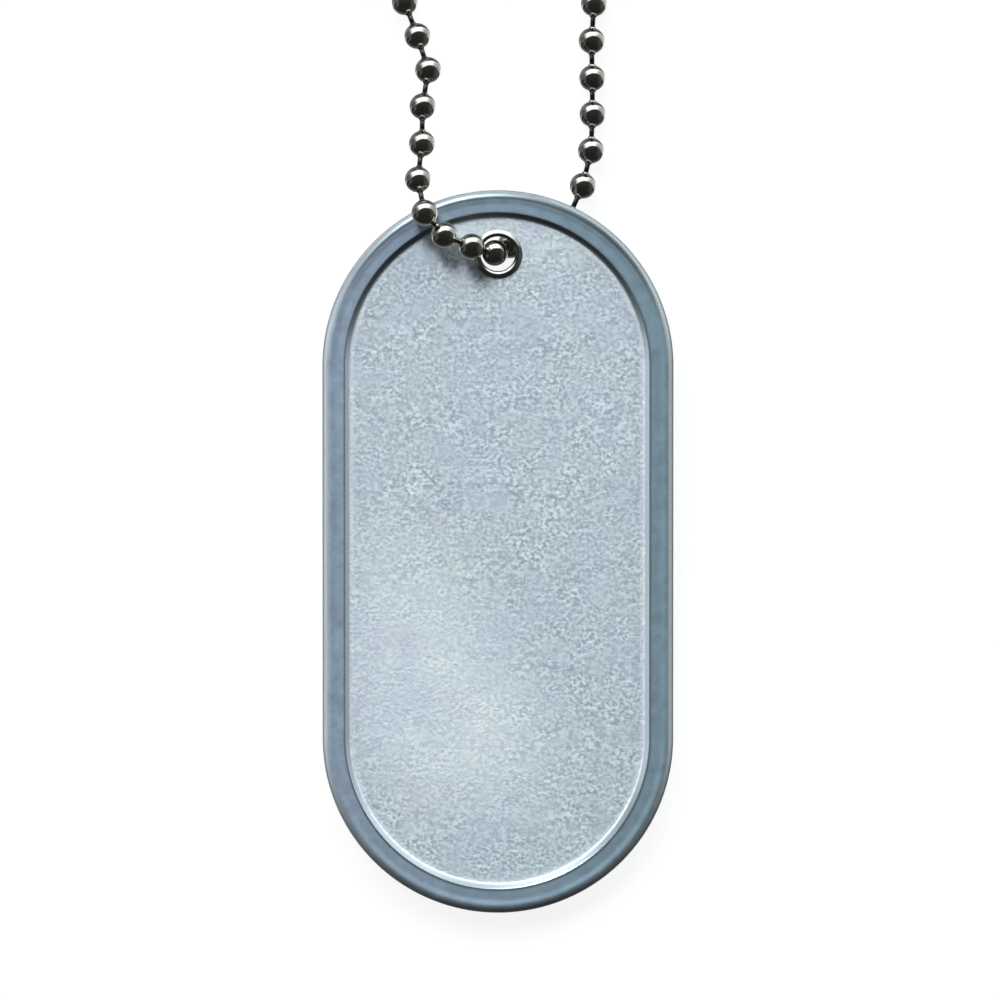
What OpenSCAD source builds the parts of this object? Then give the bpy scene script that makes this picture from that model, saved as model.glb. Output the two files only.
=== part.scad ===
// Identification dog tag on its neck chain, lying face up.
// Millimetres, +Z up, +Y from the foot of the tag to the far end of the chain.
// The foot of the tag rests on the surface, and its other end on the balls that pass behind it.

/* [Tag plate] */
// Width of the tag
tag_w = 32.3; // [26:0.1:38]
// Length of the tag
tag_l = 66.6; // [56:0.1:76]
// Thickness of the recessed panel
panel_t = 1.5; // [1.2:0.1:2]
// Height of the raised rim above the panel
rim_h = 0.5; // [0.3:0.05:0.7]
// Width of the rim, from the edge of the tag to the foot of its inner wall
rim_w = 2.65; // [2:0.05:3.5]
// Width of the sloped inner wall of the rim, seen from above
wall_w = 0.5; // [0.3:0.05:1]
// Radius of the rounded outer edge at the front
edge_r = 0.75; // [0.3:0.05:0.9]
// Radius of the rounded edge at the back
back_edge_r = 0.3; // [0.1:0.05:0.5]

/* [Eyelet] */
// Clear diameter of the eyelet
eyelet_d = 3.2; // [3:0.05:3.6]
// Wall of the eyelet's barrel
barrel_wall = 0.25; // [0.15:0.05:0.3]
// Radius of the half-round collar at the front
collar_r = 0.33; // [0.25:0.01:0.45]
// Thickness of the flat flange at the back
flange_t = 0.2; // [0.15:0.05:0.3]
// Width of the flange at the back
flange_w = 0.66; // [0.5:0.02:0.9]
// From the top end of the tag to the middle of the eyelet
eyelet_in = 5.85; // [5:0.05:8]
// Gap between the eyelet and the plate
fit_gap = 0.05; // [0.03:0.01:0.08]

/* [Ball chain] */
// Diameter of a ball
ball_d = 2.4; // [2.2:0.05:2.5]
// Wall of a hollow ball
ball_wall = 0.22; // [0.15:0.01:0.25]
// Diameter of the hole where a pin enters a ball
ball_hole_d = 0.8; // [0.7:0.02:0.9]
// Diameter of a pin
pin_d = 0.46; // [0.35:0.01:0.55]
// Diameter of the head that holds a pin in the next ball
pin_head_d = 1; // [0.95:0.01:1.1]
// Distance between two balls where the chain is pulled straight
pitch = 3.48; // [3.3:0.01:3.5]
// Running gap between loose pieces of the chain
chain_gap = 0.1; // [0.05:0.01:0.15]

/* [Connector] */
// Length of the connector
connector_l = 8.6; // [7.6:0.1:10]
// Wall of the connector
connector_wall = 0.3; // [0.2:0.05:0.4]
// Gap between a ball and the inside of the connector
connector_gap = 0.15; // [0.1:0.01:0.25]
// Diameter of the mouths that the pins leave through
mouth_d = 1.2; // [1:0.05:1.6]
// Open angle of the slot along the connector
slot_angle = 50; // [30:5:70]

/* [Hidden] */
// How far a cut runs past the face that it opens
past = 1;
// How far the ball in the eyelet hangs out behind the tag
hang_h = 0.15;

tag_r = tag_w / 2;
arc_y = tag_l - tag_r;
rim_t = panel_t + rim_h;
panel_r = tag_r - rim_w;
eyelet_r = eyelet_d / 2;
barrel_r = eyelet_r + barrel_wall;
hole_r = barrel_r + fit_gap;
collar_h = fit_gap + collar_r;

ball_r = ball_d / 2;
cavity_r = ball_r - ball_wall;
pin_r = pin_d / 2;
pin_head_r = pin_head_d / 2;
head_play = cavity_r - pin_head_r - chain_gap;
pin_l = pitch - head_play;
tube_r = ball_r + connector_gap;
connector_r = tube_r + connector_wall;

// The tag leans on the ball that sits under the eyelet.
prop_h = ball_d + chain_gap + flange_t + fit_gap;
eyelet_y = tag_l - eyelet_in;
tilt = asin(prop_h / eyelet_y);

// A point of the leaning tag: across it, along it from its foot, and above its back.
function on_tag(x, y, h) = [x, y * cos(tilt) - h * sin(tilt), y * sin(tilt) + h * cos(tilt)];

// Balls on the front of the tag, across and along it from the middle of the eyelet,
// with the height of the underside of the ball above the tag's back.
tag_route = [
    [-6.73, 3.83, rim_t + chain_gap],
    [-4.93, 1.76, panel_t + chain_gap + 0.1],
    [-2.41, 0.72, panel_t + collar_h],
    [-0.28, 0.09, -hang_h]
];

// Balls off the tag, from the middle of the eyelet, with the height of their underside
// above the surface: down from the rim, then from the eyelet out behind the tag.
left_route = [
    [-6.42, 16.9, 1.8],
    [-6.93, 13.53, 2.5],
    [-6.98, 10.08, 2.93],
    [-7.35, 6.76, 3.75]
];
right_route = [
    [1.15, 0.8, 0],
    [3.75, 2.05, 0],
    [6.43, 3.2, 0],
    [7.83, 6.3, 0],
    [8.58, 9.54, 0],
    [8.73, 12.9, 0],
    [8.7, 16.23, 0]
];

// The hidden stretch of each strand goes the plain way round to the connector.
loop_route = [
    [9.2, 25, 0],
    [14, 40, 0],
    [27, 59, 0],
    [45, 80, 0],
    [62, 104, 0],
    [74, 131, 0],
    [78, 160, 0],
    [71, 189, 0],
    [54, 212, 0],
    [31, 226.5, 0],
    [10, 231.7, 0]
];
connector_route = [2.6, 232, connector_r - ball_r];

eye = [0, eyelet_y * cos(tilt), 0];
middle = (eye + [0, connector_route[1] + connector_r, 0]) / 2;
up = [0, 0, ball_r];

function mirrored(route) = [for (p = route) [-p[0], p[1], p[2]]];
function reversed(list) = [for (i = [len(list) - 1 : -1 : 0]) list[i]];
function placed(route) = [for (p = route) p + eye + up];

// A smooth curve through the points, in short straight steps.
smooth_steps = 12;
function blend(a, b, c, d, t) =
    b + t / 2 * (c - a + t * (2 * a - 5 * b + 4 * c - d + t * (3 * (b - c) + d - a)));
function smooth(p) = [
    for (i = [1 : len(p) - 3], k = [0 : smooth_steps - 1])
        blend(p[i - 1], p[i], p[i + 1], p[i + 2], k / smooth_steps),
    p[len(p) - 2]
];
function run_lengths(p, i = 0, sum = 0) =
    i == len(p) - 1 ? [sum] : concat([sum], run_lengths(p, i + 1, sum + norm(p[i + 1] - p[i])));
function column(keys, p, axis) = [for (i = [0 : len(p) - 1]) [keys[i], p[i][axis]]];

// Balls at even steps along the curve, no further apart than the pitch, without its two
// ends. None sinks below the surface.
function even_balls(p) =
    let (
        run = run_lengths(p),
        total = run[len(run) - 1],
        count = ceil(total / pitch),
        x = column(run, p, 0),
        y = column(run, p, 1),
        z = column(run, p, 2)
    )
    [
        for (i = [1 : count - 1])
            let (s = i * total / count)
                [lookup(s, x), lookup(s, y), max(ball_r, lookup(s, z))]
    ];

left_balls = placed(left_route);
right_balls = placed(right_route);
front_balls = [
    for (p = tag_route) on_tag(p[0], eyelet_y + p[1], p[2] + ball_r)
];
end_ball = placed([connector_route])[0];
past_end = placed([[0, connector_route[1], connector_route[2]]])[0];
right_loop = smooth(concat(
    [right_balls[5], right_balls[6]], placed(loop_route), [end_ball, past_end]
));
left_loop = smooth(concat(
    [left_balls[1], left_balls[0]], placed(mirrored(loop_route)),
    [[-end_ball[0], end_ball[1], end_ball[2]], past_end]
));

balls = concat(
    [[-end_ball[0], end_ball[1], end_ball[2]]],
    reversed(even_balls(left_loop)),
    left_balls,
    front_balls,
    right_balls,
    even_balls(right_loop),
    [end_ball]
);

module aimed(from, to) {
    d = to - from;
    translate(from)
        rotate([0, acos(d[2] / norm(d)), atan2(d[1], d[0])])
            children();
}

// Half of the tag's section, from its middle line out to its edge.
module tag_section() {
    difference() {
        union() {
            translate([0, back_edge_r])
                square([tag_r, rim_t - back_edge_r - edge_r]);
            square([tag_r - back_edge_r, rim_t - edge_r]);
            translate([0, panel_t / 2])
                square([tag_r - edge_r, rim_t - panel_t / 2]);
            translate([tag_r - back_edge_r, back_edge_r])
                circle(back_edge_r, $fn = 48);
            translate([tag_r - edge_r, rim_t - edge_r])
                circle(edge_r, $fn = 48);
        }
        polygon([
            [-past, panel_t],
            [panel_r, panel_t],
            [panel_r + wall_w, rim_t],
            [panel_r + wall_w, rim_t + past],
            [-past, rim_t + past]
        ]);
    }
}

module half_round_end() {
    rotate_extrude(angle = 180, $fn = 180)
        tag_section();
}

module tag_plate() {
    color([0.55, 0.6, 0.66])
        translate(-middle)
            rotate([tilt, 0, 0])
                difference() {
                    union() {
                        translate([0, arc_y, 0])
                            half_round_end();
                        translate([0, tag_r, 0])
                            rotate(180)
                                half_round_end();
                        for (side = [0, 1])
                            mirror([side, 0, 0])
                                translate([0, arc_y, 0])
                                    rotate([90, 0, 0])
                                        linear_extrude(arc_y - tag_r)
                                            tag_section();
                    }
                    translate([0, eyelet_y, -past])
                        cylinder(r = hole_r, h = rim_t + 2 * past, $fn = 64);
                }
}

// Barrel through the plate, half-round collar in front and flat flange behind.
module eyelet_section() {
    translate([eyelet_r, -fit_gap])
        square([barrel_wall, panel_t + 2 * fit_gap]);
    translate([eyelet_r, -fit_gap - flange_t])
        square([flange_w, flange_t]);
    intersection() {
        translate([eyelet_r + collar_r, panel_t + fit_gap])
            circle(collar_r, $fn = 48);
        translate([eyelet_r, panel_t + fit_gap])
            square([2 * collar_r, collar_r]);
    }
}

module eyelet() {
    color([0.75, 0.75, 0.73])
        translate(-middle)
            rotate([tilt, 0, 0])
                translate([0, eyelet_y, 0])
                    rotate_extrude($fn = 64)
                        eyelet_section();
}

// Hollow ball with a pin that ends in a head inside the next ball, and with a hole that
// takes the pin of the ball before. The two end balls have one of the two.
module link(before, here, next) {
    difference() {
        aimed(here, is_undef(next) ? before : next) {
            sphere(ball_r, $fn = 32);
            if (!is_undef(next)) {
                cylinder(r = pin_r, h = pin_l, $fn = 16);
                translate([0, 0, pin_l])
                    sphere(pin_head_r, $fn = 16);
            }
        }
        aimed(here, is_undef(before) ? next : before) {
            sphere(cavity_r, $fn = 32);
            if (!is_undef(before))
                cylinder(r = ball_hole_d / 2, h = ball_d, $fn = 16);
        }
    }
}

module ball_chain() {
    color([0.72, 0.72, 0.7])
        translate(-middle)
            for (i = [0 : len(balls) - 1])
                link(balls[i - 1], balls[i], balls[i + 1]);
}

// Rolled sleeve with a slot along its top, drawn in at both mouths to hold the end balls.
module connector() {
    half_l = connector_l / 2;
    taper = tube_r - mouth_d / 2;
    color([0.72, 0.72, 0.7])
        translate([0, end_ball[1], end_ball[2]] - middle)
            rotate([0, 90, 0])
                rotate([0, 0, 180 + slot_angle / 2])
                    rotate_extrude(angle = 360 - slot_angle, $fn = 64)
                        polygon([
                            [mouth_d / 2, -half_l],
                            [mouth_d / 2 + connector_wall, -half_l],
                            [connector_r, -half_l + taper],
                            [connector_r, half_l - taper],
                            [mouth_d / 2 + connector_wall, half_l],
                            [mouth_d / 2, half_l],
                            [mouth_d / 2, half_l - connector_wall],
                            [tube_r, half_l - connector_wall - taper],
                            [tube_r, -half_l + connector_wall + taper],
                            [mouth_d / 2, -half_l + connector_wall]
                        ]);
}

tag_plate();
eyelet();
ball_chain();
connector();
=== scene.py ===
"""Looks of an identification dog tag that lies on its ball chain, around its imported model."""

import math

import bmesh
import bpy
from mathutils import Matrix, Vector, noise


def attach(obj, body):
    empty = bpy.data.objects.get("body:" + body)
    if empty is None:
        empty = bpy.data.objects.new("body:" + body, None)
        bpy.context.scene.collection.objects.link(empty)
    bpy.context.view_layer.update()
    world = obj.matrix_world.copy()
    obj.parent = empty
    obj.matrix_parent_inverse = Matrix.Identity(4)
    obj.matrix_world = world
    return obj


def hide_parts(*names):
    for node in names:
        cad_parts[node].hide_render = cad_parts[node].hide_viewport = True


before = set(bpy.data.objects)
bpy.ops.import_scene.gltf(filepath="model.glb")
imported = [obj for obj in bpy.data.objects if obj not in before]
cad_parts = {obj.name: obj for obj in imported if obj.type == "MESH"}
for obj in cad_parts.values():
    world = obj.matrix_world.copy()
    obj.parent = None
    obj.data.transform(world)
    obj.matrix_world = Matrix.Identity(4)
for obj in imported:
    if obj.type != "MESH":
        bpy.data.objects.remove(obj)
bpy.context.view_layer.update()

# Real sizes in millimetres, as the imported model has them
MM = 0.001

TAG_W = 32.3
TAG_L = 66.6
PANEL_T = 1.5
RIM_H = 0.5
RIM_W = 2.65
WALL_W = 0.5
EDGE_R = 0.75
BACK_EDGE_R = 0.3

EYELET_R = 1.6
BARREL_WALL = 0.25
COLLAR_R = 0.33
FLANGE_T = 0.2
FLANGE_W = 0.66
EYELET_IN = 5.85
FIT_GAP = 0.05

BALL_R = 1.2
PIN_R = 0.23
PITCH = 3.48
CHAIN_GAP = 0.1
BESIDE_RIM_GAP = 0.2
HANG_H = 0.15

CONNECTOR_L = 8.6
CONNECTOR_WALL = 0.3
CONNECTOR_GAP = 0.15
MOUTH_R = 0.6
SLOT_ANGLE = math.radians(50)

TAG_R = TAG_W / 2
ARC_Y = TAG_L - TAG_R
RIM_T = PANEL_T + RIM_H
PANEL_R = TAG_R - RIM_W
WALL_TOP_R = PANEL_R + WALL_W
FLAT_R = TAG_R - EDGE_R
EYELET_Y = TAG_L - EYELET_IN
HOLE_R = EYELET_R + BARREL_WALL + FIT_GAP
TUBE_R = BALL_R + CONNECTOR_GAP
CONNECTOR_R = TUBE_R + CONNECTOR_WALL

# The tag leans on the ball under its eyelet
TILT = math.asin((2 * BALL_R + CHAIN_GAP + FLANGE_T + FIT_GAP) / EYELET_Y)
LEANING = Matrix.Rotation(TILT, 4, "X")
EYE = Vector((0, EYELET_Y * math.cos(TILT), 0))

# Balls on the front of the tag: across and along it from the eyelet, and the height of their
# underside above the tag's back
TAG_ROUTE = [
    (-6.73, 3.83, RIM_T + CHAIN_GAP),
    (-4.93, 1.76, PANEL_T + BESIDE_RIM_GAP),
    (-2.41, 0.72, PANEL_T + FIT_GAP + COLLAR_R),
    (-0.28, 0.09, -HANG_H),
]

# Balls off the tag: from the eyelet, and the height of their underside above the floor
LEFT_ROUTE = [
    (-6.42, 16.9, 1.8), (-6.93, 13.53, 2.5), (-6.98, 10.08, 2.93), (-7.35, 6.76, 3.75),
]
RIGHT_ROUTE = [
    (1.15, 0.8, 0), (3.75, 2.05, 0), (6.43, 3.2, 0), (7.83, 6.3, 0), (8.58, 9.54, 0),
    (8.73, 12.9, 0), (8.7, 16.23, 0),
]
LOOP_ROUTE = [
    (9.2, 25, 0), (14, 40, 0), (27, 59, 0), (45, 80, 0), (62, 104, 0), (74, 131, 0),
    (78, 160, 0), (71, 189, 0), (54, 212, 0), (31, 226.5, 0), (10, 231.7, 0),
]
CONNECTOR_ROUTE = (2.6, 232, CONNECTOR_R - BALL_R)
SMOOTH_STEPS = 12

MIDDLE = (EYE + Vector((0, CONNECTOR_ROUTE[1] + CONNECTOR_R, 0))) / 2
PLACED = Matrix.Scale(MM, 4) @ Matrix.Translation(-MIDDLE)


def on_floor(route):
    return [Vector(p) + EYE + Vector((0, 0, BALL_R)) for p in route]


def on_tag(route):
    return [LEANING @ Vector((x, EYELET_Y + y, h + BALL_R)) for x, y, h in route]


def mirrored(route):
    return [(-x, y, z) for x, y, z in route]


def smooth(points):
    """A smooth curve from the second point to the last but one, in short straight steps."""
    curve = []
    for a, b, c, d in zip(points, points[1:], points[2:], points[3:]):
        for k in range(SMOOTH_STEPS):
            t = k / SMOOTH_STEPS
            bend = 2 * a - 5 * b + 4 * c - d + t * (3 * (b - c) + d - a)
            curve.append(b + t / 2 * (c - a + t * bend))
    return curve + [points[-2]]


def even_balls(curve):
    """Balls at even steps along the curve, without its two ends."""
    runs = [0]
    for a, b in zip(curve, curve[1:]):
        runs.append(runs[-1] + (b - a).length)
    count = math.ceil(runs[-1] / PITCH)
    balls = []
    for i in range(1, count):
        run = i * runs[-1] / count
        k = max(j for j, start in enumerate(runs) if start <= run)
        ball = curve[k].lerp(curve[k + 1], (run - runs[k]) / (runs[k + 1] - runs[k]))
        ball.z = max(BALL_R, ball.z)
        balls.append(ball)
    return balls


def chain_balls():
    """Centres of all the balls, and the range of those near the tag."""
    left = on_floor(LEFT_ROUTE)
    right = on_floor(RIGHT_ROUTE)
    right_end, left_end = on_floor([CONNECTOR_ROUTE] + mirrored([CONNECTOR_ROUTE]))
    past_end = (right_end + left_end) / 2
    right_loop = even_balls(smooth(right[-2:] + on_floor(LOOP_ROUTE) + [right_end, past_end]))
    left_loop = even_balls(
        smooth(left[1::-1] + on_floor(mirrored(LOOP_ROUTE)) + [left_end, past_end])
    )
    before = [left_end] + left_loop[::-1]
    near = left + on_tag(TAG_ROUTE) + right
    return before + near + right_loop + [right_end], (len(before), len(before) + len(near))


# Sections and sweeps

# Points nearer to each other than this are one point.
SEAM = 5e-4


def arc(centre_r, centre_z, radius, start, end, steps):
    """Points of a round stretch of a section, with angles in degrees from outwards to up."""
    points = []
    for i in range(steps + 1):
        angle = math.radians(start + (end - start) * i / steps)
        points.append((centre_r + radius * math.cos(angle), centre_z + radius * math.sin(angle)))
    return points


def stretch(start, end, steps):
    """Points of a straight stretch of a section, without its first."""
    return [
        tuple(a + (b - a) * i / steps for a, b in zip(start, end)) for i in range(1, steps + 1)
    ]


def section_line(bm, points, y=0):
    """A section as a line of vertices, out along X and up along Z."""
    verts = [bm.verts.new((r, y, z)) for r, z in points]
    edges = [bm.edges.new(pair) for pair in zip(verts, verts[1:])]
    return verts + edges


def swept(bm, geometry, steps, turn=0, centre=(0, 0, 0), move=(0, 0, 0), whole=False):
    """Sweeps a section round a centre or along, and returns where it ends."""
    return bmesh.ops.spin(
        bm, geom=geometry, cent=centre, axis=(0, 0, 1), dvec=Vector(move) / steps,
        angle=turn, steps=steps, use_merge=whole, use_duplicate=False,
    )["geom_last"]


def closed(bm):
    """Merges the seams and poles of a swept shape, and points its faces outwards."""
    bmesh.ops.remove_doubles(bm, verts=bm.verts, dist=SEAM)
    bmesh.ops.recalc_face_normals(bm, faces=bm.faces)


def turned(points, steps):
    """A round shape from a section that starts and ends on its middle line or on itself."""
    bm = bmesh.new()
    swept(bm, section_line(bm, points), steps, turn=math.tau, whole=True)
    closed(bm)
    return bm


def eased(value, low, high):
    """From 0 at low to 1 at high, with soft ends."""
    t = min(max((value - low) / (high - low), 0), 1)
    return t * t * (3 - 2 * t)


def as_mesh(bm, name):
    mesh = bpy.data.meshes.new(name)
    bm.to_mesh(mesh)
    bm.free()
    mesh.shade_smooth()
    return mesh


def shown(thing):
    bpy.context.scene.collection.objects.link(thing)
    return thing


def as_piece(mesh, material, node):
    """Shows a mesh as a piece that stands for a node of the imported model."""
    piece = shown(bpy.data.objects.new(mesh.name, mesh))
    mesh.materials.append(material)
    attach(piece, "root")
    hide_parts(node)
    return piece


# Tag plate

PANEL_STEP = 0.2
LENGTH_STEPS = 70
END_STEPS = 90
DRILL_STEPS = 64
DRILL_PAST = 1
FOOT_R = 0.1
CREST_R = 0.15

# The rim's flat dips a little inside a low lip
LIP_H = 0.035
LIP_W = 0.45
LIP_CREST_W = 0.1
LIP_CREST_DROP = 0.004

# The recess was struck this far off the middle
OFF_CENTRE = (-0.07, 0.12)

# The cast grain and the slower swell under it, each from a level of the noise of its own
GRAIN_SIZE = 0.42
GRAIN_DEPTH = 0.005
GRAIN_LEVEL = 3.7
SWELL_SIZE = 1.5
SWELL_DEPTH = 0.007
SWELL_LEVEL = 9.1

# The finishes, painted shade and painted light that the plate's vertices tell the material
FINISHES = ("grained", "wall_shade_and_polish", "extra_shade_and_polish", "bared", "painted_light")

# Distances from the tag's middle line, between which a finish or a change of shape grows from
# nothing to its full share
WALL_STARTS = (PANEL_R + 0.02, PANEL_R + 0.2)
WALL_ENDS = (WALL_TOP_R, WALL_TOP_R + 0.15)
STRUCK_STARTS = (PANEL_R - 3, PANEL_R - 0.5)
STRUCK_ENDS = (WALL_TOP_R - 0.2, WALL_TOP_R + 0.5)
SMOOTH_BY_WALL = (PANEL_R - 0.5, PANEL_R - 0.05)
# Towards the wall the panel grows paler with painted light
PAINTED_LIGHT_BY_WALL = (PANEL_R - 0.5, PANEL_R - 0.15)
SHADED_EDGE_STARTS = (FLAT_R - 0.1, FLAT_R + 0.1)
SHADED_EDGE_ENDS = (TAG_R - 0.25, TAG_R - 0.12)
BARE_EDGE = (FLAT_R + 0.1, FLAT_R + 0.3)

# The same from the eyelet's middle, up the tag, and up its round end as a share of its radius
ROUGH_BY_EYELET = (HOLE_R + 0.3, HOLE_R + 0.9)
# Painted light makes the top of the panel paler, to this share
PAINTED_LIGHT_TOP = (TAG_L - 8, TAG_L - 4)
PAINTED_LIGHT_TOP_SHARE = 0.7
# Painted shade darkens the walls low on the tag, fading out up this span, and the top of the
# edge's bevel, where the light falls brightest
WALL_SHADE_FADE = (6, 16)
LOW_WALL_SHADE_SHARE = 0.45
EDGE_SHADE_TOP = (0.1, 0.8)

# A patch of painted light at the lower left, which leans to the left further up
PATCH_X, PATCH_Y = -5, 18
PATCH_LEAN = 0.3
PATCH_HALF_W = 14
PATCH_UP = 24
PATCH_DOWN = 14
PATCH_FADE = (0.2, 1)

# Above this a vertex is on the front, and this near the panel's height it is on the panel
FRONT_Z = PANEL_T - 0.05
PANEL_NEAR = 1e-3


def tag_section():
    """Half of the tag's section, from the middle of the panel round the edge to the back."""
    wall_angle = math.degrees(math.atan2(RIM_H, WALL_W))
    foot_r = PANEL_R - FOOT_R * math.tan(math.radians(wall_angle / 2))
    crest_r = WALL_TOP_R + CREST_R * math.tan(math.radians(wall_angle / 2))
    flat_z = RIM_T - LIP_H
    crest = arc(crest_r, flat_z - CREST_R, CREST_R, wall_angle + 90, 90, steps=6)
    lip_crest = (FLAT_R - LIP_CREST_W, RIM_T - LIP_CREST_DROP)

    points = [(0, PANEL_T)]
    points += stretch(points[-1], (foot_r, PANEL_T), steps=round(foot_r / PANEL_STEP))
    points += arc(foot_r, PANEL_T + FOOT_R, FOOT_R, -90, wall_angle - 90, steps=4)[1:]
    points += stretch(points[-1], crest[0], steps=3) + crest[1:]
    points += stretch(points[-1], (FLAT_R - LIP_W, flat_z), steps=5)
    points += stretch(points[-1], lip_crest, steps=3)
    points += arc(FLAT_R, RIM_T - EDGE_R, EDGE_R, 90, 0, steps=14)
    points += stretch(points[-1], (TAG_R, BACK_EDGE_R), steps=2)
    points += arc(TAG_R - BACK_EDGE_R, BACK_EDGE_R, BACK_EDGE_R, 0, -90, steps=6)[1:]
    points += stretch(points[-1], (0, 0), steps=6)
    return points


def stamped_plate():
    """The plate before it is drilled: a quarter of it swept, and mirrored twice."""
    middle_y = TAG_L / 2
    bm = bmesh.new()
    line = section_line(bm, tag_section(), middle_y)
    line = swept(bm, line, LENGTH_STEPS, move=(0, ARC_Y - middle_y, 0))
    swept(bm, line, END_STEPS, turn=math.pi / 2, centre=(0, ARC_Y, 0))
    for vert in bm.verts:
        if abs(vert.co.x) < SEAM:
            vert.co.x = 0
    for axis in ("X", "Y"):
        bmesh.ops.mirror(
            bm, geom=bm.verts[:] + bm.edges[:] + bm.faces[:], axis=axis,
            matrix=Matrix.Translation((0, -middle_y, 0)), merge_dist=SEAM,
        )
    closed(bm)
    return bm


def drill_bit():
    low, high = -DRILL_PAST, RIM_T + DRILL_PAST
    bm = turned([(0, low), (HOLE_R, low), (HOLE_R, high), (0, high)], DRILL_STEPS)
    bmesh.ops.translate(bm, verts=bm.verts, vec=(0, EYELET_Y, 0))
    return bm


def drilled_plate():
    """The plate with the eyelet's hole through it."""
    plate = shown(bpy.data.objects.new("plate", as_mesh(stamped_plate(), "plate")))
    drill = shown(bpy.data.objects.new("drill", as_mesh(drill_bit(), "drill")))
    cut = plate.modifiers.new("eyelet hole", "BOOLEAN")
    cut.object = drill
    cut.solver = "EXACT"
    drilled = bpy.data.meshes.new_from_object(
        plate.evaluated_get(bpy.context.evaluated_depsgraph_get())
    )
    for tool in (plate, drill):
        bpy.data.objects.remove(tool)
    bm = bmesh.new()
    bm.from_mesh(drilled)
    return bm


def from_middle(x, y):
    """Distance from the tag's middle line, which the whole outline follows."""
    return math.hypot(x, y - min(max(y, TAG_R), ARC_Y))


def grain(x, y):
    """Height of the panel's grain and swell."""
    fine = noise.noise(Vector((x / GRAIN_SIZE, y / GRAIN_SIZE, GRAIN_LEVEL)))
    swell = noise.noise(Vector((x / SWELL_SIZE, y / SWELL_SIZE, SWELL_LEVEL)))
    return GRAIN_DEPTH * fine + SWELL_DEPTH * swell


def painted_light_patch(x, y):
    up = y - PATCH_Y
    beside = (x - PATCH_X + PATCH_LEAN * up) / PATCH_HALF_W
    along = up / (PATCH_UP if up > 0 else PATCH_DOWN)
    return 1 - eased(math.hypot(beside, along), *PATCH_FADE)


def finish_shares(x, y):
    """Share of each of the finishes, painted shade and painted light at a point of the tag's
    front.
    """
    out = from_middle(x, y)
    panel = 1 - eased(out, *WALL_STARTS)
    # The recess wall, which the material darkens all round as painted shade and makes smoother
    wall = eased(out, *WALL_STARTS) * (1 - eased(out, *WALL_ENDS))
    # Painted shade on the edge's bevel at the top of the tag and on the walls low on it
    edge = eased(out, *SHADED_EDGE_STARTS) * (1 - eased(out, *SHADED_EDGE_ENDS))
    top_edge_shade = edge * eased((y - ARC_Y) / TAG_R, *EDGE_SHADE_TOP)
    low_wall_shade = LOW_WALL_SHADE_SHARE * wall * (1 - eased(y, *WALL_SHADE_FADE))
    painted_light_top = PAINTED_LIGHT_TOP_SHARE * eased(y, *PAINTED_LIGHT_TOP)
    # Painted light: the panel is paler by the wall, at its top and in the patch
    pale = max(eased(out, *PAINTED_LIGHT_BY_WALL), painted_light_top, painted_light_patch(x, y))
    return panel, wall, max(top_edge_shade, low_wall_shade), eased(out, *BARE_EDGE), pale * panel


def roughen(vert, x, y):
    """Lifts a vertex of the panel by its grain, and moves the recess off centre."""
    out = from_middle(x, y)
    rough = 1 - eased(out, *SMOOTH_BY_WALL)
    rough *= eased(math.hypot(x, y - EYELET_Y), *ROUGH_BY_EYELET)
    if abs(vert.co.z - PANEL_T) < PANEL_NEAR:
        vert.co.z += rough * grain(x, y)
    struck = eased(out, *STRUCK_STARTS) * (1 - eased(out, *STRUCK_ENDS))
    vert.co.x += struck * OFF_CENTRE[0]
    vert.co.y += struck * OFF_CENTRE[1]


def make_tag_plate(material):
    """The plate with its grain, and its finishes, painted shade and painted light as shares that
    the material reads.
    """
    bm = drilled_plate()
    for finish in FINISHES:
        bm.verts.layers.float.new(finish)
    layers = [bm.verts.layers.float[finish] for finish in FINISHES]
    for vert in bm.verts:
        x, y, z = vert.co
        if z > FRONT_Z:
            for layer, share in zip(layers, finish_shares(x, y)):
                vert[layer] = share
            roughen(vert, x, y)
    bmesh.ops.transform(bm, matrix=PLACED @ LEANING, verts=bm.verts)
    return as_piece(as_mesh(bm, "stamped_tag"), material, "tag_plate")


# Eyelet

EYELET_STEPS = 96
COLLAR_SEAT = 0.02
COLLAR_TUCK = 0.03
CREST_DROP = 0.04
EYELET_CORNER = 0.06

# From the bore up a cone to the collar's crest: out from the bore, and down from the crest
COLLAR_MOUTH = [(0, 0.18), (0.01, 0.14), (0.04, 0.12), (0.23, 0.015), (0.28, 0), (0.33, 0.015)]


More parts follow.
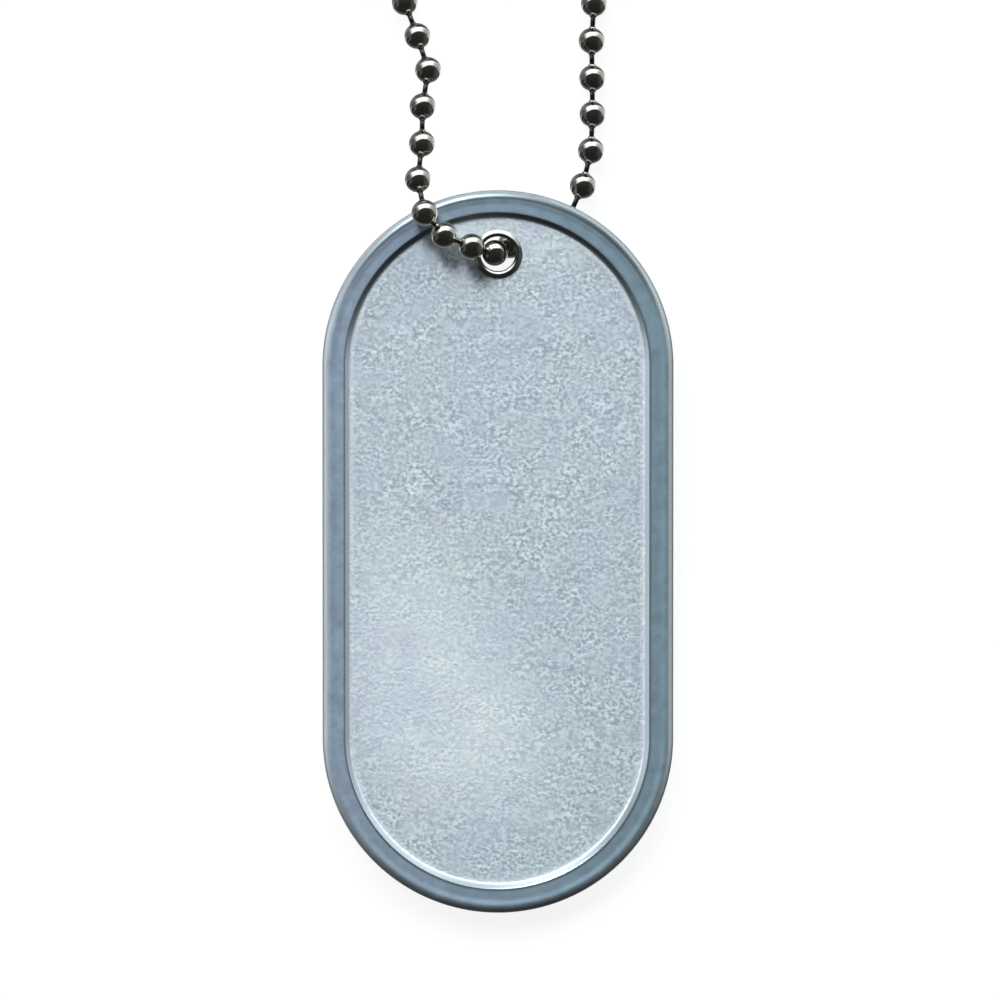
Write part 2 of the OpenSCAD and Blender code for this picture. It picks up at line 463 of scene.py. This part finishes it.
def make_eyelet(material):
    """Barrel, rolled collar on the panel and flat flange behind the tag."""
    corner = EYELET_CORNER
    top = PANEL_T + FIT_GAP
    crest_z = top + COLLAR_R - CREST_DROP
    under = top - COLLAR_SEAT
    back = -FIT_GAP - FLANGE_T
    collar_r = EYELET_R + 2 * COLLAR_R
    barrel_r = EYELET_R + BARREL_WALL
    flange_r = EYELET_R + FLANGE_W
    mouth = [(EYELET_R + out, crest_z - down) for out, down in COLLAR_MOUTH]

    points = [(EYELET_R, back + corner)]
    points += stretch(points[-1], mouth[0], steps=4) + mouth[1:2]
    points += stretch(mouth[2], mouth[3], steps=3) + mouth[4:]
    points += stretch(mouth[-1], (collar_r - COLLAR_SEAT, top + COLLAR_SEAT), steps=4)
    points += [(collar_r, top), (collar_r - COLLAR_TUCK, under), (barrel_r, under)]
    points += [(barrel_r, -FIT_GAP)]
    points += stretch(points[-1], (flange_r - corner, -FIT_GAP), steps=2)
    points += arc(flange_r - corner, -FIT_GAP - corner, corner, 90, 0, steps=3)
    points += arc(flange_r - corner, back + corner, corner, 0, -90, steps=3)
    points += arc(EYELET_R + corner, back + corner, corner, -90, -180, steps=3)
    bm = turned(points, EYELET_STEPS)
    bmesh.ops.transform(
        bm, matrix=PLACED @ LEANING @ Matrix.Translation((0, EYELET_Y, 0)), verts=bm.verts
    )
    return as_piece(as_mesh(bm, "rolled_eyelet"), material, "eyelet")


# Ball chain

# Sides and rings of the balls and pins by the tag, and of the many further off
FINE_BALL, FINE_PIN = (32, 20), (16, 2)
PLAIN_BALL, PLAIN_PIN = (12, 6), (6, 1)
NECK_SIDES = 24
NEAR_EXTRA = 8

# Necks and pins start inside the ball, at this share of its radius
INSIDE = 0.9
NECK_FOOT = 0.95
NECK_R = 0.36
NECK_REACH = 0.1
NECK_FLARE = 0.06
NECK_TAPER = 0.04
LIP_TAPER = 0.09
LIP_LENGTH = 0.06
LIP_TURN = 0.01
NECK_BORE_GAP = 0.02

BRIGHT, DULL = 0, 1


def ball_shape(sides, rings):
    """A drawn ball whose poles lie along the chain."""
    return as_mesh(turned(arc(0, 0, BALL_R, 90, -90, rings), sides), "ball")


def neck_shape():
    """The drawn lip that a pin leaves a ball by, standing on the middle of the ball."""
    end = BALL_R + NECK_REACH
    points = [
        (NECK_R + NECK_FLARE, BALL_R * INSIDE),
        (NECK_R, BALL_R * NECK_FOOT),
        (NECK_R - NECK_TAPER, end - LIP_LENGTH),
        (NECK_R - LIP_TAPER, end),
        (PIN_R + LIP_TURN, end + LIP_TURN),
        (PIN_R + NECK_BORE_GAP, BALL_R * INSIDE),
    ]
    return as_mesh(turned(points + points[:1], NECK_SIDES), "neck")


def pin_shape(gap, sides, rings):
    """A pin between the middles of two balls that are a gap apart."""
    start, end = BALL_R * INSIDE, gap - BALL_R * INSIDE
    points = [(0, start), (PIN_R, start)]
    points += stretch(points[-1], (PIN_R, end), rings) + [(0, end)]
    return as_mesh(turned(points, sides), "pin")


def aimed(start, end):
    """Stands a shape on a point, with its Z along the chain."""
    return Matrix.Translation(start) @ (end - start).to_track_quat("Z", "X").to_matrix().to_4x4()


def add_copy(bm, shape, placement, finish=BRIGHT):
    first_vert, first_face = len(bm.verts), len(bm.faces)
    bm.from_mesh(shape)
    bm.verts.ensure_lookup_table()
    bm.faces.ensure_lookup_table()
    bmesh.ops.transform(bm, matrix=placement, verts=bm.verts[first_vert:])
    for face in bm.faces[first_face:]:
        face.material_index = finish


def make_chain(finishes, name, balls, first, last, fine):
    """A stretch of the chain, from one ball to before another. Only fine balls have necks."""
    bm = bmesh.new()
    ball = ball_shape(*(FINE_BALL if fine else PLAIN_BALL))
    neck = neck_shape() if fine else None
    for i in range(first, last):
        before = balls[max(i - 1, 0)]
        after = balls[min(i + 1, len(balls) - 1)]
        along = aimed(before, after).to_3x3().to_4x4()
        add_copy(bm, ball, Matrix.Translation(balls[i]) @ along)
        if i + 1 < len(balls):
            gap = (balls[i + 1] - balls[i]).length
            pin = pin_shape(gap, *(FINE_PIN if fine else PLAIN_PIN))
            add_copy(bm, pin, aimed(balls[i], balls[i + 1]), DULL)
            bpy.data.meshes.remove(pin)
        if neck:
            add_copy(bm, neck, aimed(balls[i], before))
            add_copy(bm, neck, aimed(balls[i], after))
    bmesh.ops.transform(bm, matrix=PLACED, verts=bm.verts)
    piece = as_piece(as_mesh(bm, name), finishes[BRIGHT], "ball_chain")
    piece.data.materials.append(finishes[DULL])
    return piece


# Connector

SLEEVE_TURN_STEPS = 48
SLEEVE_LENGTH_STEPS = 6
SLEEVE_EDGE_R = 0.05
MOUTH_TURN = 0.05
MOUTH_LIP = 0.1
SHOULDER = 0.12
SHOULDER_PAST = 0.16


def both_ends(points):
    """Points of one end of the sleeve, and the same from the other end back."""
    return points, [(r, -z) for r, z in reversed(points)]


def make_connector(material):
    """Rolled sleeve with a slot along its top, drawn in at both mouths."""
    half = CONNECTOR_L / 2
    taper = TUBE_R - MOUTH_R
    outside, other_outside = both_ends([
        (MOUTH_R, -half + MOUTH_TURN),
        (MOUTH_R + MOUTH_LIP, -half),
        (MOUTH_R + CONNECTOR_WALL, -half),
        (CONNECTOR_R - SHOULDER, -half + taper - SHOULDER),
        (CONNECTOR_R, -half + taper + SHOULDER_PAST),
    ])
    inside, other_inside = both_ends([
        (MOUTH_R, half - CONNECTOR_WALL),
        (TUBE_R, half - CONNECTOR_WALL - taper),
    ])
    outline = outside + stretch(outside[-1], other_outside[0], SLEEVE_LENGTH_STEPS)
    outline += other_outside[1:] + inside + other_inside

    bm = bmesh.new()
    slot_edge = bm.faces.new(section_line(bm, outline)[:len(outline)])
    swept(bm, [slot_edge], SLEEVE_TURN_STEPS, turn=math.tau - SLOT_ANGLE)
    closed(bm)
    slot_up = Matrix.Rotation(math.pi + SLOT_ANGLE / 2, 4, "Z")
    lying = Matrix.Rotation(math.pi / 2, 4, "Y") @ slot_up
    middle = on_floor([(0, CONNECTOR_ROUTE[1], CONNECTOR_ROUTE[2])])[0]
    bmesh.ops.transform(bm, matrix=PLACED @ Matrix.Translation(middle) @ lying, verts=bm.verts)
    piece = as_piece(as_mesh(bm, "slotted_connector"), material, "connector")
    edges = piece.modifiers.new("rounded edges", "BEVEL")
    edges.width = SLEEVE_EDGE_R * MM
    edges.segments = 2
    edges.limit_method = "ANGLE"
    return piece


# Finishes

# The rim's colour on the left and on the right: painted light and painted shade, lighter where
# the light falls from the upper left
RIM_LIT_LEFT = (0.53, 0.66, 0.85, 1)
RIM_SHADED_RIGHT = (0.32, 0.49, 0.58, 1)
RIM_DRIFT = (0.52, 0.62, 0.86, 1)
RIM_MOTTLE = (0.40, 0.58, 0.66, 1)
RIM_SPECKLE = (0.30, 0.42, 0.48, 1)
BARE_METAL = (0.52, 0.57, 0.58, 1)
SHADED_WALL_METAL = (0.33, 0.39, 0.44, 1)
SHADE_METAL = (0.13, 0.17, 0.19, 1)
DARK_GRAIN = (0.44, 0.54, 0.61, 1)
PALE_GRAIN = (0.87, 0.98, 1.0, 1)
# Lighter copies of the grain's colours, for painted light
DARK_GRAIN_PAINTED_LIGHT = (0.70, 0.83, 0.91, 1)
PALE_GRAIN_PAINTED_LIGHT = (0.94, 1.0, 1.0, 1)
PANEL_LILAC = (0.74, 0.74, 0.88, 1)
PANEL_DRIFT = (0.60, 0.72, 0.88, 1)
NICKEL = (0.60, 0.62, 0.58, 1)
NICKEL_TARNISH = (0.48, 0.50, 0.45, 1)
PIN_METAL = (0.10, 0.10, 0.09, 1)
PIN_RUBBED = (0.16, 0.16, 0.14, 1)

# Shares of the bared edge, of the painted shade on the top edge and low walls, and of the
# panel's even shade in its grain
BARED = 0.8
PAINTED_SHADE_SHARE = 0.85
EVEN_SHADE = 0.5

# How far from the middle the rim's painted shade, lighter on the left and darker to the right,
# stops changing, in metres
RIM_SHADE_SPREAD = 0.014
PANEL_ROUGH = (0.64, 0.76)
SMOOTHED_ROUGH = 0.4
PIN_ROUGH = 0.35
RIM_RELIEF = 0.5
PANEL_RELIEF = 1.2
RELIEF_DEPTH = 0.00001
NOISE_ROUGHNESS = 0.55

# Spots of each kind: how many millimetres across, how much detail, the span of the noise, and
# what it becomes
SPOTS = {
    "drift": (9, 3, 0.35, 0.65, 0, 0.25),
    "speckle": (0.35, 3, 0.3, 0.7, 0, 1),
    "patches": (2.2, 2, 0.4, 0.6, 0.5, 1),
    "grain": (0.34, 1, 0.34, 0.66, 0, 1),
    "mottle": (0.8, 2, 0.38, 0.62, 0, 0.4),
    "lilac": (4.5, 2, 0.45, 0.7, 0, 0.25),
    "rim rubbing": (1.2, 4, 0.3, 0.7, 0.52, 0.60),
    "rim relief": (0.3, 3, 0, 1, 0, RIM_RELIEF),
    "tarnish": (1.6, 3, 0.4, 0.75, 0, 1),
    "nickel rubbing": (0.5, 4, 0.3, 0.7, 0.09, 0.16),
    "nickel relief": (0.6, 2, 0, 1, 0, 1),
    "soot": (0.4, 3, 0.3, 0.7, 0, 1),
}
SPECKLE_SHARE = 0.3


def add_node(tree, kind, inputs=None, **settings):
    made = tree.nodes.new("ShaderNode" + kind)
    for key, value in settings.items():
        setattr(made, key, value)
    for key, value in (inputs or {}).items():
        if isinstance(value, bpy.types.NodeSocket):
            tree.links.new(value, made.inputs[key])
        else:
            made.inputs[key].default_value = value
    return made


def ranged(tree, value, low, high, to_low, to_high):
    return add_node(
        tree, "MapRange",
        {"Value": value, "From Min": low, "From Max": high, "To Min": to_low, "To Max": to_high},
    ).outputs[0]


def spots(tree, kind):
    """Noise of a kind from the table, on the piece's own coordinates."""
    size, detail, *span = SPOTS[kind]
    pattern = add_node(tree, "TexNoise", {
        "Vector": add_node(tree, "TexCoord").outputs["Object"],
        "Scale": 1 / (size * MM), "Detail": detail, "Roughness": NOISE_ROUGHNESS,
    })
    return ranged(tree, pattern.outputs["Fac"], *span)


def marked(tree, name):
    """What a piece's vertices say under a name."""
    return add_node(tree, "Attribute", attribute_name=name).outputs["Fac"]


def mixed(tree, share, first, second):
    """Two colours, by share of the second."""
    return add_node(
        tree, "Mix", {0: share, 6: first, 7: second}, data_type="RGBA"
    ).outputs[2]


def mixed_number(tree, share, first, second):
    return add_node(
        tree, "Mix", {0: share, 2: first, 3: second}, data_type="FLOAT"
    ).outputs[0]


def times(tree, first, second):
    return add_node(tree, "Math", {0: first, 1: second}, operation="MULTIPLY").outputs[0]


def plus(tree, first, second):
    return add_node(tree, "Math", {0: first, 1: second}, operation="ADD").outputs[0]


def new_metal(name):
    material = bpy.data.materials.new(name)
    material.use_nodes = True
    tree = material.node_tree
    shader = tree.nodes["Principled BSDF"]
    shader.inputs["Metallic"].default_value = 1
    return material, tree, shader


def relieve(tree, shader, height):
    bump = add_node(
        tree, "Bump", {"Height": height, "Strength": 1.0, "Distance": RELIEF_DEPTH}
    )
    tree.links.new(bump.outputs[0], shader.inputs["Normal"])


def rim_colour(tree, drift, speckle):
    """Blue-grey, with painted shade that makes it lighter on the left and darker, greener to the
    right; bared at its edge; darkened with painted shade on its wall, at its top edge and on its
    low walls.
    """
    place = add_node(tree, "SeparateXYZ", {0: add_node(tree, "TexCoord").outputs["Object"]})
    # Painted shade: the rim is lighter on the left and darker to the right
    across = ranged(tree, place.outputs["X"], -RIM_SHADE_SPREAD, RIM_SHADE_SPREAD, 0, 1)
    rim = mixed(tree, across, RIM_LIT_LEFT, RIM_SHADED_RIGHT)
    rim = mixed(tree, drift, rim, RIM_DRIFT)
    rim = mixed(tree, spots(tree, "mottle"), rim, RIM_MOTTLE)
    rim = mixed(tree, times(tree, speckle, SPECKLE_SHARE), rim, RIM_SPECKLE)
    rim = mixed(tree, times(tree, marked(tree, "bared"), BARED), rim, BARE_METAL)
    # Painted shade: the recess wall is darkened all round; it is also smoother
    rim = mixed(tree, marked(tree, "wall_shade_and_polish"), rim, SHADED_WALL_METAL)
    # Painted shade: the top edge and the low walls are darkened; they are also smoother
    return mixed(tree, times(tree, marked(tree, "extra_shade_and_polish"), PAINTED_SHADE_SHARE), rim, SHADE_METAL)


def panel_colour(tree, drift, marks):
    """Pale, with dark and bright grain, which is paler where light is painted on: by the wall,
    at the top and in a patch at the lower left.
    """
    painted_light = marked(tree, "painted_light")
    dark = mixed(tree, painted_light, DARK_GRAIN, DARK_GRAIN_PAINTED_LIGHT)
    pale = mixed(tree, painted_light, PALE_GRAIN, PALE_GRAIN_PAINTED_LIGHT)
    panel = mixed(tree, marks, dark, pale)
    panel = mixed(tree, spots(tree, "lilac"), panel, PANEL_LILAC)
    return mixed(tree, drift, panel, PANEL_DRIFT)


def tag_steel():
    """Blue-grey satin rim and a paler, coarser grained panel."""
    material, tree, shader = new_metal("tag_steel")
    grained = marked(tree, "grained")
    drift = spots(tree, "drift")
    speckle = spots(tree, "speckle")
    marks = mixed_number(tree, spots(tree, "patches"), EVEN_SHADE, spots(tree, "grain"))
    colour = mixed(
        tree, grained, rim_colour(tree, drift, speckle), panel_colour(tree, drift, marks)
    )
    tree.links.new(colour, shader.inputs["Base Color"])

    smoothed = plus(tree, marked(tree, "wall_shade_and_polish"), marked(tree, "extra_shade_and_polish"))
    rim_rough = mixed_number(tree, smoothed, spots(tree, "rim rubbing"), SMOOTHED_ROUGH)
    panel_rough = ranged(tree, speckle, 0, 1, *PANEL_ROUGH)
    rough = mixed_number(tree, grained, rim_rough, panel_rough)
    tree.links.new(rough, shader.inputs["Roughness"])

    relief = mixed_number(
        tree, grained, spots(tree, "rim relief"), times(tree, marks, PANEL_RELIEF)
    )
    relieve(tree, shader, relief)
    return material


def nickel():
    """Bright nickel plate with faint rubbing marks and a little tarnish."""
    material, tree, shader = new_metal("nickel_plate")
    colour = mixed(tree, spots(tree, "tarnish"), NICKEL, NICKEL_TARNISH)
    tree.links.new(colour, shader.inputs["Base Color"])
    tree.links.new(spots(tree, "nickel rubbing"), shader.inputs["Roughness"])
    relieve(tree, shader, spots(tree, "nickel relief"))
    return material


def dull_pin():
    """The dark, rubbed metal of the pins between the balls."""
    material, tree, shader = new_metal("dull_pin")
    colour = mixed(tree, spots(tree, "soot"), PIN_METAL, PIN_RUBBED)
    tree.links.new(colour, shader.inputs["Base Color"])
    shader.inputs["Roughness"].default_value = PIN_ROUGH
    return material


# Studio, in metres and degrees

FLOOR_SIZE = 20
FLOOR_GREY = (0.55, 0.55, 0.55, 1)
FLOOR_ROUGH = 0.9
FLOOR_GLOW = 0.87

CAMERA_UP = 0.9
FRAME_W = 0.092
SENSOR_W = 36
PHOTO_SIZE = 1000
TAG_MIDDLE_PX = (497.9, 552.5)

ARCH_R = 6
ARCH_AXIS = Vector((-0.187, 0.663, -0.725))
ARCH_EDGES = (48, 50, 52, 54, 64, 74, 84, 94, 96, 98, 100)
ARCH_MIDDLE = 74
ARCH_FADE = (20, 24)
ARCH_STEPS = 72
ARCH_RADIANCE = 2.1

# Where the arch fades along its length, by direction, and how much of it goes
ARCH_NEAR_END = (-0.3, -0.05)
ARCH_RIGHT_END = (0.4, 0.85)
ARCH_RIGHT_LOSS = 0.7
ARCH_LEFT_END = (0.55, 0.92)
ARCH_LEFT_LOSS = 0.93

# Softboxes that light the tag: azimuth from +Y towards -X, elevation, width, height and radiance
SOFTBOX_DISTANCE = 5
SOFTBOXES = {
    "long_softbox": (4, 19, 25, 2.8, 2),
    "left_softbox": (88, 12, 3, 4, 2),
    "right_softbox": (-85, 12, 3, 4, 1.3),
    "corner_softbox": (-45, 12, 4.5, 2.2, 4),
    "far_corner_softbox": (46, 9, 3, 1.6, 2.6),
    "tag_softbox": (21, 41, 1.7, 1.5, 36),
}

# The room's glow by direction: the span of the direction's part, and the radiances at its ends
ROOM_TINT = (1, 1.02, 1, 1)
ROOM_Y = (-0.5, 0.5, 0.025, 0.045)
LOW_Z = (0.65, 0.35, 0, 1)
LEFTWARD = (-0.94, 0.34, 0)
LEFT_GLOW = (0.55, 0.95, 0, 0.25)
RIGHT_GLOW = (0.6, 0.95, 0, 0.06)
UNDER_GLOW = (-0.3, -0.85, 0, 0.22)


def make_floor():
    """A pale floor, which isn't mirrored in the metal."""
    bm = bmesh.new()
    bmesh.ops.create_grid(bm, x_segments=1, y_segments=1, size=FLOOR_SIZE / 2)
    floor = shown(bpy.data.objects.new("floor", as_mesh(bm, "floor")))
    material = bpy.data.materials.new("pale_floor")
    material.use_nodes = True
    shader = material.node_tree.nodes["Principled BSDF"]
    shader.inputs["Base Color"].default_value = FLOOR_GREY
    shader.inputs["Roughness"].default_value = FLOOR_ROUGH
    shader.inputs["Specular IOR Level"].default_value = 0
    shader.inputs["Emission Color"].default_value = (1, 1, 1, 1)
    shader.inputs["Emission Strength"].default_value = FLOOR_GLOW
    floor.data.materials.append(material)
    floor.visible_glossy = False
    return floor


def light_only(lamp, pieces):
    lit = bpy.data.collections.new("lit by " + lamp.name)
    for piece in pieces:
        lit.objects.link(piece)
    lamp.light_linking.receiver_collection = lit


def make_softbox(name, azimuth, elevation, width, height, radiance):
    """A softbox that faces the origin."""
    lamp = bpy.data.lights.new(name, "AREA")
    lamp.shape = "RECTANGLE"
    lamp.size = width
    lamp.size_y = height
    lamp.energy = radiance * math.pi * width * height
    box = bpy.data.objects.new(name, lamp)
    a, e = math.radians(azimuth), math.radians(elevation)
    out = Vector((-math.sin(a) * math.cos(e), math.cos(a) * math.cos(e), math.sin(e)))
    facing = out.to_track_quat("Z", "Y").to_matrix().to_4x4()
    box.matrix_world = Matrix.Translation(out * SOFTBOX_DISTANCE) @ facing
    return shown(box)


def arch_shape():
    """Part of a sphere round an axis, with how far each vertex glows."""
    bm = bmesh.new()
    edge_angles = [math.radians(a) for a in ARCH_EDGES]
    line = section_line(
        bm, [(ARCH_R * math.sin(a), ARCH_R * math.cos(a)) for a in edge_angles]
    )
    swept(bm, line, ARCH_STEPS, turn=math.tau)
    closed(bm)
    leaning = ARCH_AXIS.to_track_quat("Z", "Y").to_matrix().to_4x4()
    bmesh.ops.transform(bm, matrix=leaning, verts=bm.verts)
    glow = bm.verts.layers.float.new("glow")
    for vert in bm.verts:
        out = vert.co.normalized()
        spread = math.degrees(out.angle(ARCH_AXIS))
        share = 1 - eased(abs(spread - ARCH_MIDDLE), *ARCH_FADE)
        share *= eased(out.y, *ARCH_NEAR_END)
        share *= 1 - ARCH_RIGHT_LOSS * eased(out.x, *ARCH_RIGHT_END)
        share *= 1 - ARCH_LEFT_LOSS * eased(-out.x, *ARCH_LEFT_END)
        vert[glow] = share
    dark = [face for face in bm.faces if max(vert[glow] for vert in face.verts) == 0]
    bmesh.ops.delete(bm, geom=dark, context="FACES")
    return bm


def make_arch(name):
    """A long arched softbox beyond the top of the picture, which fades out at both ends."""
    arch = shown(bpy.data.objects.new(name, as_mesh(arch_shape(), name)))
    material = bpy.data.materials.new(name)
    material.use_nodes = True
    tree = material.node_tree
    strength = times(tree, marked(tree, "glow"), ARCH_RADIANCE)
    lamp = add_node(tree, "Emission", {"Strength": strength})
    tree.links.new(lamp.outputs[0], tree.nodes["Material Output"].inputs["Surface"])
    arch.data.materials.append(material)
    arch.visible_camera = False
    return arch


def make_room():
    """A dim room that glows a little at both sides and from below."""
    world = bpy.data.worlds.new("dim_room")
    world.use_nodes = True
    tree = world.node_tree
    direction = add_node(tree, "TexCoord").outputs["Generated"]
    split = add_node(tree, "SeparateXYZ", {0: direction}).outputs
    leftward = add_node(
        tree, "VectorMath", {0: direction, 1: LEFTWARD}, operation="DOT_PRODUCT"
    ).outputs["Value"]
    left = ranged(tree, leftward, *LEFT_GLOW)
    right = ranged(tree, split["X"], *RIGHT_GLOW)
    sides = times(tree, ranged(tree, split["Z"], *LOW_Z), plus(tree, left, right))
    room = ranged(tree, split["Y"], *ROOM_Y)
    under = ranged(tree, split["Z"], *UNDER_GLOW)
    radiance = plus(tree, plus(tree, room, sides), under)
    background = tree.nodes["Background"]
    tree.links.new(radiance, background.inputs["Strength"])
    background.inputs["Color"].default_value = ROOM_TINT
    world.cycles.sampling_method = "NONE"
    bpy.context.scene.world = world


def make_light(tag, others):
    light_only(make_arch("arched_softbox"), others)
    for name, sizes in SOFTBOXES.items():
        light_only(make_softbox(name, *sizes), [tag])
    make_room()


def make_camera():
    """Straight above the tag, framed as the photograph is."""
    camera = bpy.data.cameras.new("camera")
    camera.sensor_width = SENSOR_W
    camera.lens = SENSOR_W * CAMERA_UP / FRAME_W
    middle = PLACED @ LEANING @ Vector((0, TAG_L / 2, RIM_T))
    pixel = FRAME_W / PHOTO_SIZE
    across = (PHOTO_SIZE / 2 - TAG_MIDDLE_PX[0]) * pixel
    along = (TAG_MIDDLE_PX[1] - PHOTO_SIZE / 2) * pixel
    holder = bpy.data.objects.new("camera", camera)
    holder.location = middle + Vector((across, along, CAMERA_UP))
    bpy.context.scene.camera = shown(holder)
    bpy.context.scene.view_settings.view_transform = "Standard"


make_camera()
tag = make_tag_plate(tag_steel())
# The tag isn't mirrored in the chain, which would turn the balls blue.
tag.visible_glossy = False

chain_finishes = (nickel(), dull_pin())
balls, (first_near, last_near) = chain_balls()
first_fine, last_fine = first_near - NEAR_EXTRA, last_near + NEAR_EXTRA
others = [
    make_eyelet(chain_finishes[BRIGHT]),
    make_chain(chain_finishes, "chain_by_the_tag", balls, first_fine, last_fine, True),
    make_chain(chain_finishes, "chain_left", balls, 0, first_fine, False),
    make_chain(chain_finishes, "chain_right", balls, last_fine, len(balls), False),
    make_connector(chain_finishes[BRIGHT]),
    make_floor(),
]
make_light(tag, others)
